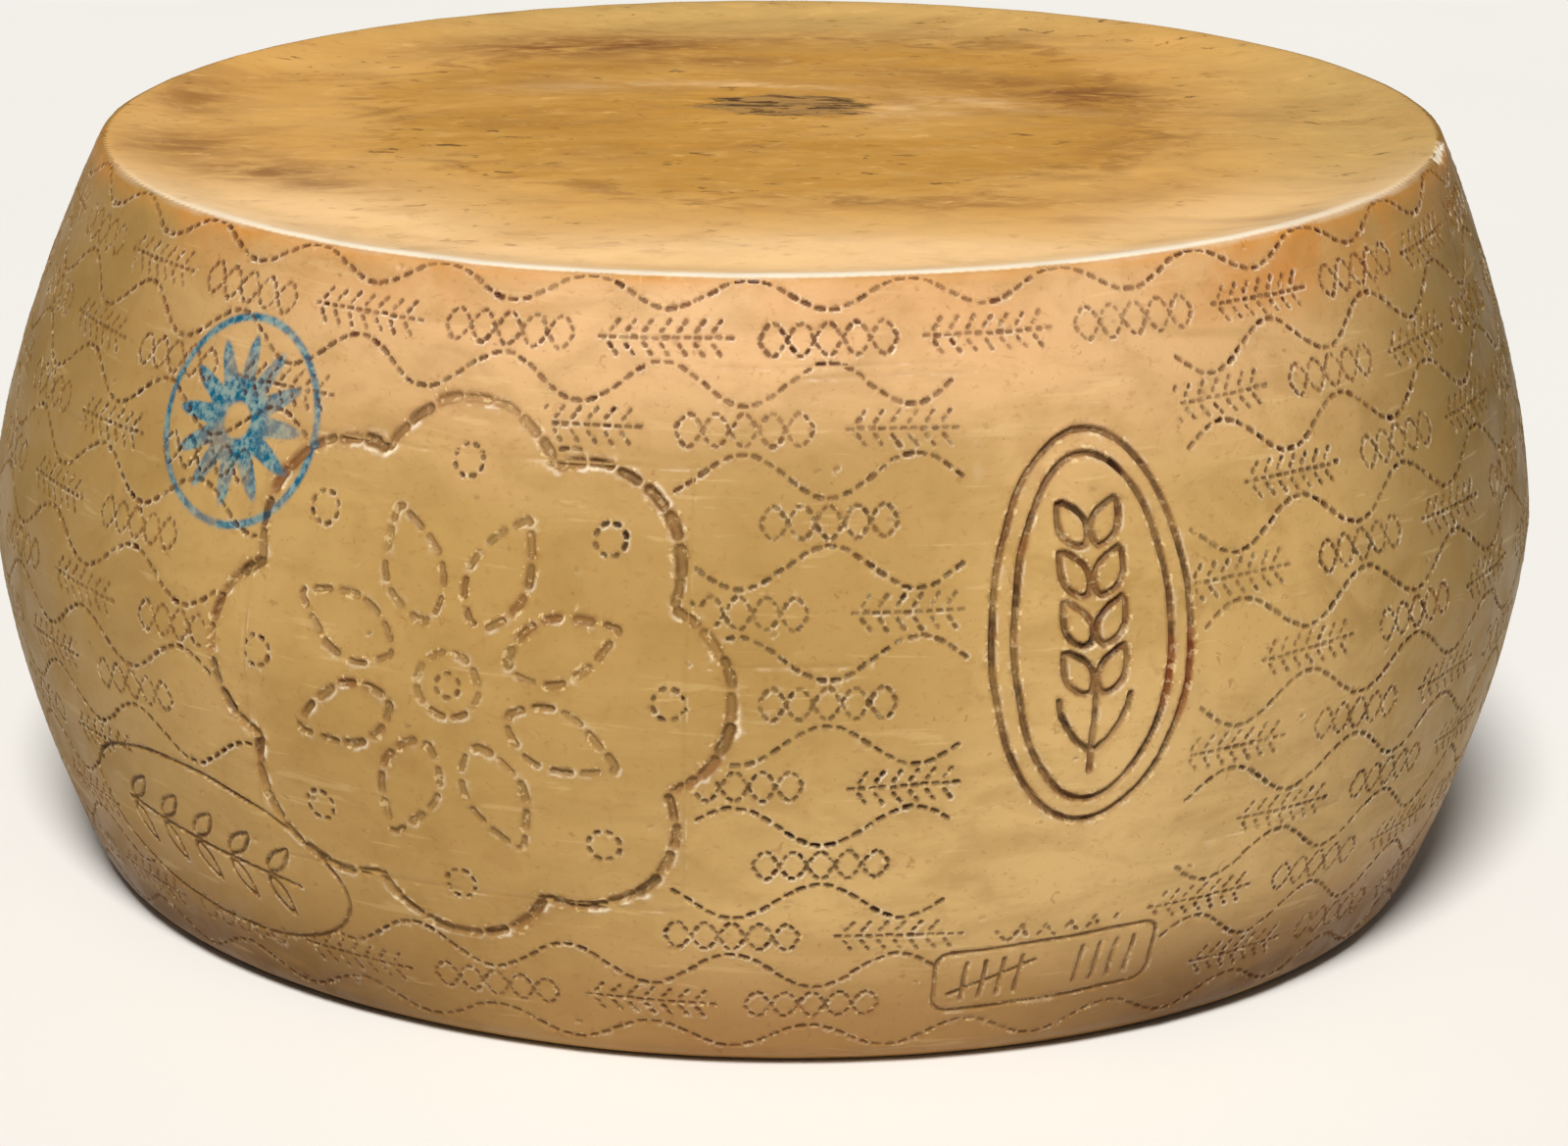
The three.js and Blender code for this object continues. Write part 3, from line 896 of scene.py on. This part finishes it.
def buildWheel():
    points = np.concatenate([heelPoints, topPoints, basePoints])
    faces = np.concatenate([heelFaces, topFaces, baseFaces])
    mesh = bpy.data.meshes.new("cheeseWheelRind")
    mesh.vertices.add(len(points))
    mesh.vertices.foreach_set("co", points.astype(np.float32).ravel())
    mesh.loops.add(faces.size)
    mesh.loops.foreach_set("vertex_index", faces.astype(np.int32).ravel())
    mesh.polygons.add(len(faces))
    mesh.polygons.foreach_set("loop_start", (np.arange(len(faces)) * 3).astype(np.int32))
    mesh.update(calc_edges=True)
    mesh.validate()
    mesh.polygons.foreach_set("use_smooth", np.ones(len(faces), bool))
    crestRow = int(crestArc / rowStep)
    slots = np.zeros(len(faces), np.int32)
    slots[:len(heelFaces)] = cornerRow.mean(1) > crestRow
    slots[len(heelFaces):] = 1
    mesh.polygons.foreach_set("material_index", slots)
    faceXY = np.concatenate([topPoints, basePoints])[:, :2]
    isTop = np.arange(len(faceXY)) < len(topPoints)
    heelOnTop = usedRow > crestRow
    for name in ("stain", "rust", "pale", "ink", "rim", "amber", "brown", "grey", "clear"):
        if name in masks:
            heelValues = masks[name][usedRow, usedColumn]
            faceValues = np.zeros(len(faceXY))
        else:
            heelValues = np.where(heelOnTop, spotsAt(name, heelPoints[:, 0], heelPoints[:, 1]), 0)
            faceValues = np.where(isTop, spotsAt(name, faceXY[:, 0], faceXY[:, 1]), 0)
        layer = mesh.attributes.new(name, "FLOAT", "POINT")
        layer.data.foreach_set("value", np.concatenate([heelValues, faceValues]).astype(np.float32))
    addBakeMap(mesh, points)
    mesh.update()
    wheel = bpy.data.objects.new("cheeseWheelRind", mesh)
    bpy.context.scene.collection.objects.link(wheel)
    return wheel


def addBakeMap(mesh, points):
    # the heel as two strips, one above the other, and both faces beside each other
    margin = 0.006
    heelLength = fullTurn * wheelShape["radius"]
    tall = 2 * rowArc[-1] + 2 * rowRadius[0] + 4 * margin
    half = gridColumns // 2
    back = heelCells[:, :, 0].min(1) >= half
    u = margin + (heelCells[:, :, 0] - half * back[:, None]) / half * heelLength / 2
    v = margin + rowArc[cornerRow] + (rowArc[-1] + margin) * back[:, None]
    heelUv = np.stack([u, v], 2).reshape(-1, 2)
    floorV = 3 * margin + 2 * rowArc[-1]
    parts = [heelUv]
    for faces, middle, flip in (
        (topFaces, margin + rowRadius[0], 1),
        (baseFaces, 2 * margin + 3 * rowRadius[0], -1),
    ):
        xy = points[faces.ravel(), :2] * (flip, 1)
        parts.append(xy + (middle, floorV + rowRadius[0]))
    uv = np.concatenate(parts) / tall
    layer = mesh.uv_layers.new(name="OFBake")
    layer.data.foreach_set("uv", uv.astype(np.float32).ravel())


wheel = buildWheel()
print("wheel built", len(wheel.data.polygons), "triangles")


# Shader helpers

def rgb(red, green, blue):
    # a screen colour, 0 to 255, as the linear colour that shaders use
    screen = [c / 255 for c in (red, green, blue)]
    return tuple(c / 12.92 if c < 0.04 else ((c + 0.055) / 1.055) ** 2.4 for c in screen) + (1,)


class Painter:
    # short calls for the nodes of one tree, and the colour that has been painted so far
    def __init__(self, tree, place=None, look=None):
        self.tree = tree
        self.place = place
        self.look = look
        self.colour = None

    def add(self, kind, inputs=None, **settings):
        # an input that is a socket is linked, and any other value is set
        node = self.tree.nodes.new(kind)
        for name, value in settings.items():
            setattr(node, name, value)
        for name, value in (inputs or {}).items():
            if isinstance(value, bpy.types.NodeSocket):
                self.tree.links.new(value, node.inputs[name])
            else:
                node.inputs[name].default_value = value
        return node

    def axes(self):
        return self.add("ShaderNodeSeparateXYZ", {0: self.place}).outputs[:]

    def attribute(self, name):
        return self.add("ShaderNodeAttribute", attribute_name=name).outputs["Fac"]

    def calculate(self, operation, first, second=0.0, clamp=False):
        inputs = {0: first, 1: second}
        return self.add("ShaderNodeMath", inputs, operation=operation, use_clamp=clamp).outputs[0]

    def opposite(self, mask):
        return self.calculate("SUBTRACT", 1.0, mask, True)

    def times(self, *factors):
        total = factors[0]
        for factor in factors[1:]:
            total = self.calculate("MULTIPLY", total, factor)
        return total

    def remap(self, value, low, high, toLow=0.0, toHigh=1.0):
        inputs = {"Value": value, "From Min": low, "From Max": high, "To Min": toLow, "To Max": toHigh}
        return self.add("ShaderNodeMapRange", inputs, interpolation_type="SMOOTHSTEP").outputs["Result"]

    def stretched(self, x, y=1.0):
        # coordinates that draw a texture out along an axis with a share below 1
        inputs = {0: self.place, 1: (x, y, 1.0)}
        return self.add("ShaderNodeVectorMath", inputs, operation="MULTIPLY").outputs[0]

    def noise(self, scale, detail=4.0, roughness=0.55, distortion=0.0, place=None):
        inputs = {"Vector": place or self.place, "Scale": scale, "Detail": detail,
                  "Roughness": roughness, "Distortion": distortion}
        return self.add("ShaderNodeTexNoise", inputs).outputs["Fac"]

    def effect(self, group, place=None, **values):
        # one of the node groups below, placed with its own values
        inputs = {"Vector": place or self.place, **values}
        return self.add("ShaderNodeGroup", inputs, node_tree=group).outputs[0]

    def clouds(self, scale, low, high, warp, place=None):
        return self.effect(softClouds, place, Scale=scale, Low=low, High=high, Warp=warp)

    def flecks(self, scale, cover, stretch=(1.0, 1.0, 1.0)):
        return self.effect(driedFlecks, Scale=scale, Cover=cover, Stretch=stretch)

    def over(self, base, colour, *factors):
        # one colour painted over another; a name is a colour of the look
        under, upper = (self.look[c] if isinstance(c, str) else c for c in (base, colour))
        inputs = {0: self.times(*factors), 6: under, 7: upper}
        return self.add("ShaderNodeMix", inputs, data_type="RGBA").outputs[2]

    def tint(self, colour, *factors):
        self.colour = self.over(self.colour, colour, *factors)


def newGroup(name, output, **inputs):
    group = bpy.data.node_groups.new(name, "ShaderNodeTree")
    group.interface.new_socket(name="Vector", in_out="INPUT", socket_type="NodeSocketVector")
    for label, value in inputs.items():
        kind = "NodeSocketVector" if isinstance(value, tuple) else "NodeSocketFloat"
        group.interface.new_socket(name=label, in_out="INPUT", socket_type=kind).default_value = value
    group.interface.new_socket(name=output, in_out="OUTPUT", socket_type="NodeSocketFloat")
    entry = group.nodes.new("NodeGroupInput").outputs
    return Painter(group, entry["Vector"]), entry, group.nodes.new("NodeGroupOutput").inputs[output]


def makeClouds():
    # soft patches of a chosen size: a mask from 0 to 1
    paint, entry, leave = newGroup("softClouds", "Mask", Scale=20.0, Low=0.4, High=0.6, Warp=0.3)
    texture = paint.noise(entry["Scale"], 5.0, 0.58, entry["Warp"])
    paint.tree.links.new(paint.remap(texture, entry["Low"], entry["High"]), leave)
    return paint.tree


def makeFlecks():
    # scattered small flecks, drawn out along an axis whose stretch is below 1
    paint, entry, leave = newGroup("driedFlecks", "Mask", Scale=200.0, Cover=0.1, Stretch=(0.45, 1.0, 1.0))
    drawn = paint.add("ShaderNodeVectorMath", {0: paint.place, 1: entry["Stretch"]}, operation="MULTIPLY")
    texture = paint.noise(entry["Scale"], 3.0, 0.6, 0.4, drawn.outputs[0])
    limit = paint.calculate("SUBTRACT", 0.72, entry["Cover"])
    paint.tree.links.new(paint.remap(texture, limit, paint.calculate("ADD", limit, 0.07)), leave)
    return paint.tree


def makeGrain():
    # height of the fine, slightly greasy skin: pores, smears and a faint unevenness
    paint, entry, leave = newGroup("rindGrain", "Height", Scale=1.0, Pores=0.4, Smears=0.6)
    sized = paint.add("ShaderNodeVectorMath", {0: paint.place}, operation="SCALE")
    paint.tree.links.new(entry["Scale"], sized.inputs["Scale"])
    paint.place = sized.outputs[0]
    cells = paint.add("ShaderNodeTexVoronoi", {"Vector": paint.place, "Scale": 420.0}, feature="F1")
    pores = paint.opposite(paint.remap(cells.outputs["Distance"], 0.05, 0.3))
    pores = paint.times(pores, paint.remap(paint.noise(60.0, 2.0), 0.5, 0.68), entry["Pores"])
    smears = paint.times(paint.noise(130.0, 5.0, 0.6, 0.5), entry["Smears"])
    height = paint.calculate("ADD", paint.times(paint.noise(900.0, 3.0), 0.25), smears)
    paint.tree.links.new(paint.calculate("SUBTRACT", height, pores), leave)
    return paint.tree


softClouds = makeClouds()
driedFlecks = makeFlecks()
rindGrain = makeGrain()


def newMaterial(name, look, ground):
    material = bpy.data.materials.new(name)
    material.use_nodes = True
    paint = Painter(material.node_tree, look=look)
    paint.place = paint.add("ShaderNodeTexCoord").outputs["Object"]
    paint.colour = ground
    return material, paint, material.node_tree.nodes["Principled BSDF"]


def finish(paint, shader):
    # the colour, gloss that wanders a little, and the fine skin
    roughness = paint.look["roughness"]
    gloss = paint.remap(paint.clouds(55.0, 0.3, 0.7, 0.5), 0.0, 1.0, roughness - 0.08, roughness + 0.12)
    grain = paint.effect(rindGrain, Scale=1.0)
    inputs = {"Height": grain, "Strength": paint.look["skin"], "Distance": 0.6 * mm}
    normal = paint.add("ShaderNodeBump", inputs).outputs["Normal"]
    for name, value in (("Base Color", paint.colour), ("Roughness", gloss), ("Normal", normal)):
        paint.tree.links.new(value, shader.inputs[name])
    shader.inputs["Specular IOR Level"].default_value = paint.look["shine"]


heelLook = {
    "golden": rgb(168, 133, 76),
    "tan": rgb(194, 158, 100),
    "sandy": rgb(208, 173, 116),
    # this pink is painted light on the upper front of the heel
    "litPink": rgb(213, 170, 123),
    "olive": rgb(150, 116, 60),
    # the next four darken the foot, its sides, the right side and the left side, as painted shade; low also
    # tints clouds and pores
    "low": rgb(138, 94, 48),
    "footSideShade": rgb(86, 56, 20),
    "edge": rgb(104, 80, 26),
    "leftSideShade": rgb(122, 92, 28),
    "amber": rgb(206, 138, 56),
    "speck": rgb(236, 206, 152),
    "scorch": rgb(92, 40, 15),
    "orange": rgb(186, 120, 50),
    "rust": rgb(122, 68, 30),
    "markTop": rgb(70, 34, 14),
    "markMiddle": rgb(40, 23, 8),
    "markLow": rgb(66, 36, 26),
    # cream is painted highlight along the crest and on the lips of the marks, and the colour of the chip
    "cream": rgb(255, 243, 220),
    "ink": rgb(0, 84, 110),
    "inkPale": rgb(64, 142, 156),
    "roughness": 0.5,
    "skin": 0.4,       # how deep the fine skin looks
    "shine": 0.14,
}


def makeHeelMaterial():
    material, paint, shader = newMaterial("pressedHeelRind", heelLook, "golden")
    remap = paint.remap
    tint = paint.tint
    x, y, z = paint.axes()
    side = paint.calculate("ABSOLUTE", x)
    # the ground, part by part of the heel, with painted light on its upper front and painted shade on the
    # belly and the sides
    leaning = paint.times(remap(x, -0.1, 0.06), 0.6)
    tint("tan", paint.calculate("ADD", leaning, paint.times(paint.clouds(9.0, 0.42, 0.6, 0.4), 0.4)))
    tint("olive", paint.clouds(26.0, 0.48, 0.66, 0.8), 0.5)
    # paler pink on the upper front of the heel, painted light
    tint("litPink", remap(z, 0.142, 0.198), remap(y, -0.08, -0.2), 0.92)
    tint("sandy", remap(x, -0.08, 0.03), remap(z, 0.135, 0.075), remap(x, 0.16, 0.08, 0.35, 1.0), 0.85)
    # a darker olive over the middle of the belly, painted shade
    belly = paint.times(remap(z, 0.04, 0.12, 0.12, 0.8), remap(z, 0.192, 0.165))
    tint("olive", belly, remap(x, 0.08, 0.03), remap(x, -0.08, 0.0), 0.75)
    # both sides of the heel darker, painted shade
    tint("leftSideShade", remap(x, -0.13, -0.215), 0.65)
    tint("edge", remap(x, 0.13, 0.2), remap(z, 0.04, 0.17, 0.5, 1.0), 0.86)
    tint("low", paint.clouds(110.0, 0.5, 0.72, 0.5), 0.16)
    # orange patches under the rim, and painted shade that darkens the foot, and its sides more
    patches = paint.times(paint.clouds(16.0, 0.4, 0.66, 0.6), 0.8)
    patches = paint.times(patches, remap(side, 0.03, 0.12, 0.3, 1.0), remap(x, 0.19, 0.14, 0.35, 1.0))
    tint("orange", remap(z, 0.186, 0.206), patches)
    # painted shade: the foot darker, and darker still at its sides
    tint("low", remap(z, 0.055, 0.008), remap(x, -0.06, -0.01, 0.38, 0.74))
    tint("footSideShade", remap(z, 0.042, 0.004), remap(side, 0.04, 0.13), 0.85)
    # flecks, smudges, level scratches and pores
    tint("rust", paint.flecks(260.0, 0.06), 0.35)
    tint("olive", paint.clouds(75.0, 0.42, 0.7, 0.9, paint.stretched(0.4, 0.4)), 0.34)
    tint("speck", paint.flecks(300.0, 0.1, (0.1, 0.1, 1.0)), 0.13)
    tint("low", paint.flecks(620.0, 0.12, (0.6, 0.6, 1.0)), 0.22)
    # rust and dried rind round the marks, and painted highlight on their raised lips
    rust = paint.attribute("rust")
    tint("amber", paint.attribute("amber"), 0.8)
    tint("rust", rust, 0.62)
    tint("speck", paint.flecks(420.0, 0.16), remap(rust, 0.02, 0.2), 0.5)
    # cream on the raised lips of the marks is painted highlight
    tint("cream", paint.attribute("pale"), 0.6)
    # patchy ink
    patch = paint.clouds(420.0, 0.35, 0.6, 0.2)
    cover = paint.calculate("ADD", paint.times(patch, 0.35), 0.65)
    tint(paint.over("inkPale", "ink", patch), paint.attribute("ink"), cover)
    # the stain in the marks, which is redder here and there
    mark = paint.over("markTop", "markMiddle", remap(z, 0.2, 0.15))
    mark = paint.over(mark, "markLow", remap(z, 0.07, 0.03))
    mark = paint.over(mark, "scorch", paint.clouds(48.0, 0.45, 0.62, 0.6), 0.6)
    mark = paint.over(mark, "scorch", remap(rust, 0.7, 1.0))
    # markTop is under the rim, markLow at the foot
    tint(mark, paint.attribute("stain"))
    # cream along the crest is painted highlight; it also whitens the chip
    tint("cream", paint.attribute("rim"))
    finish(paint, shader)
    return material


faceLook = {
    "golden": rgb(213, 161, 86),
    "zone": rgb(190, 137, 55),
    "clear": rgb(247, 204, 148),
    "brown": rgb(142, 92, 44),
    "grey": rgb(160, 122, 72),
    "flake": rgb(66, 44, 26),
    "fleck": rgb(132, 84, 38),
    "amber": rgb(206, 140, 60),
    "light": rgb(230, 184, 112),
    "far": rgb(190, 157, 95),
    # cream is painted highlight along the crest, and the colour of the chip
    "cream": rgb(255, 243, 220),
    "roughness": 0.46,
    "skin": 0.35,
    "shine": 0.14,
    "zoneMiddle": (0.0, 0.027, 0.209),     # of the darker round zone
}


def makeFaceMaterial():
    material, paint, shader = newMaterial("rubbedFaceRind", faceLook, "golden")
    remap = paint.remap
    tint = paint.tint
    x, y, z = paint.axes()
    # the round zone, the far edge and the rubbed, clear places
    inputs = {0: paint.place, 1: faceLook["zoneMiddle"]}
    distance = paint.add("ShaderNodeVectorMath", inputs, operation="DISTANCE").outputs["Value"]
    wander = paint.times(paint.noise(26.0, 5.0, 0.6), 0.06)
    inZone = remap(paint.calculate("ADD", distance, wander), 0.158, 0.128)
    tint("zone", inZone, 0.85)
    tint("far", paint.calculate("MAXIMUM", remap(y, 0.1, 0.19), remap(x, 0.1, 0.18)), 0.85)
    tattered = remap(paint.noise(95.0, 5.0, 0.65, 1.0, paint.stretched(0.6)), 0.36, 0.6, 0.25, 1.1)
    tattered = paint.add("ShaderNodeMix", {0: inZone, 2: 1.0, 3: tattered}, data_type="FLOAT").outputs[0]
    clear = paint.attribute("clear")
    tint("clear", clear, paint.opposite(paint.times(inZone, 0.6)), tattered, 1.7)
    # smears and patches, finer ones last
    tint("light", remap(paint.noise(42.0, 5.0, 0.6, 0.4, paint.stretched(0.35)), 0.35, 0.7), 0.28)
    tint("brown", paint.clouds(24.0, 0.5, 0.7, 0.9, paint.stretched(0.6)), 0.28)
    breakUp = remap(paint.noise(120.0, 5.0, 0.65, 0.6, paint.stretched(0.5)), 0.3, 0.62, 0.2, 1.15)
    tint("brown", paint.attribute("brown"), breakUp)
    lumps = paint.clouds(85.0, 0.46, 0.62, 1.2, paint.stretched(0.6))
    tint("fleck", lumps, inZone, paint.opposite(inZone), 1.7)
    mottle = paint.noise(150.0, 5.0, 0.65, 0.8, paint.stretched(0.6))
    tint("light", remap(mottle, 0.52, 0.75, 0.0, 0.4))
    tint("brown", remap(mottle, 0.46, 0.25, 0.0, 0.3))
    tint("light", paint.flecks(170.0, 0.07, (0.45, 1.0, 1.0)), 0.5)
    gather = remap(paint.noise(17.0, 3.0), 0.42, 0.62)
    tint("flake", paint.flecks(230.0, 0.1, (0.55, 1.0, 1.0)), paint.opposite(clear), gather, 0.7)
    # the flaking grey patch in the middle
    ragged = paint.times(paint.noise(190.0, 4.0, 0.7, 0.4, paint.stretched(0.3)), 0.9)
    ragged = paint.calculate("ADD", paint.attribute("grey"), paint.calculate("SUBTRACT", ragged, 0.45))
    patch = paint.times(remap(ragged, 0.38, 0.55), 0.85)
    tint("grey", patch)
    tint("flake", remap(paint.noise(330.0, 4.0, 0.7, 0.3, paint.stretched(0.22)), 0.49, 0.57), patch)
    tint("amber", paint.attribute("amber"), 0.7)
    # cream along the crest is painted highlight; it also whitens the chip
    tint("cream", paint.attribute("rim"))
    finish(paint, shader)
    return material


wheel.data.materials.append(makeHeelMaterial())
wheel.data.materials.append(makeFaceMaterial())
print("materials made")

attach(wheel, "root")
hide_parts("cheese_wheel")


# Floor, lights and camera

floorLook = {"size": 14.0, "pale": rgb(240, 239, 236), "shade": rgb(234, 232, 228), "roughness": 0.75}


def makeFloor():
    half = floorLook["size"] / 2
    mesh = bpy.data.meshes.new("paleFloor")
    corners = [(-half, -half, 0), (half, -half, 0), (half, half, 0), (-half, half, 0)]
    mesh.from_pydata(corners, [], [(0, 1, 2, 3)])
    floor = bpy.data.objects.new("paleFloor", mesh)
    bpy.context.scene.collection.objects.link(floor)
    material, paint, shader = newMaterial("paleFloor", floorLook, "pale")
    paint.tint("shade", paint.clouds(3.0, 0.3, 0.7, 0.2), 0.25)
    paint.tree.links.new(paint.colour, shader.inputs["Base Color"])
    shader.inputs["Roughness"].default_value = floorLook["roughness"]
    mesh.materials.append(material)


studio = {
    "sun": 3.9,                       # strength
    "sunSpread": math.radians(16),    # a wide sun makes soft shadows
    "sunColour": (1.0, 0.985, 0.955),
    "sunDirection": (0.06, 0.62, -0.78),
    "air": 0.12,
    "airColour": (1.0, 0.96, 0.9, 1),
}


def makeLights():
    data = bpy.data.lights.new("keySun", "SUN")
    data.energy = studio["sun"]
    data.angle = studio["sunSpread"]
    data.color = studio["sunColour"]
    key = bpy.data.objects.new("keySun", data)
    key.rotation_euler = Vector(studio["sunDirection"]).to_track_quat("-Z", "Y").to_euler()
    bpy.context.scene.collection.objects.link(key)
    world = bpy.data.worlds.new("studioAir")
    world.use_nodes = True
    air = world.node_tree.nodes["Background"]
    air.inputs["Color"].default_value = studio["airColour"]
    air.inputs["Strength"].default_value = studio["air"]
    bpy.context.scene.world = world


view = {
    # where the photograph was taken from, worked out from the wheel's outline
    "distance": 1.481, "height": 0.522, "lookDown": 0.2917, "lookRight": 0.0046, "roll": 0.0262,
    "focalPixels": 5437.1, "imageWidth": 1600, "sensor": 36.0,
}


def makeCamera():
    data = bpy.data.cameras.new("studioCamera")
    data.sensor_fit = "HORIZONTAL"
    data.sensor_width = view["sensor"]
    data.lens = view["focalPixels"] * view["sensor"] / view["imageWidth"]
    data.clip_end = 60
    camera = bpy.data.objects.new("studioCamera", data)
    turn = Matrix.Rotation(-view["lookRight"], 4, "Z")
    tip = Matrix.Rotation(math.pi / 2 - view["lookDown"], 4, "X")
    roll = Matrix.Rotation(view["roll"], 4, "Z")
    camera.matrix_world = Matrix.Translation((0, -view["distance"], view["height"])) @ turn @ tip @ roll
    bpy.context.scene.collection.objects.link(camera)
    bpy.context.scene.camera = camera


makeFloor()
makeLights()
makeCamera()
bpy.context.scene.view_settings.view_transform = "Standard"
print("stage set")
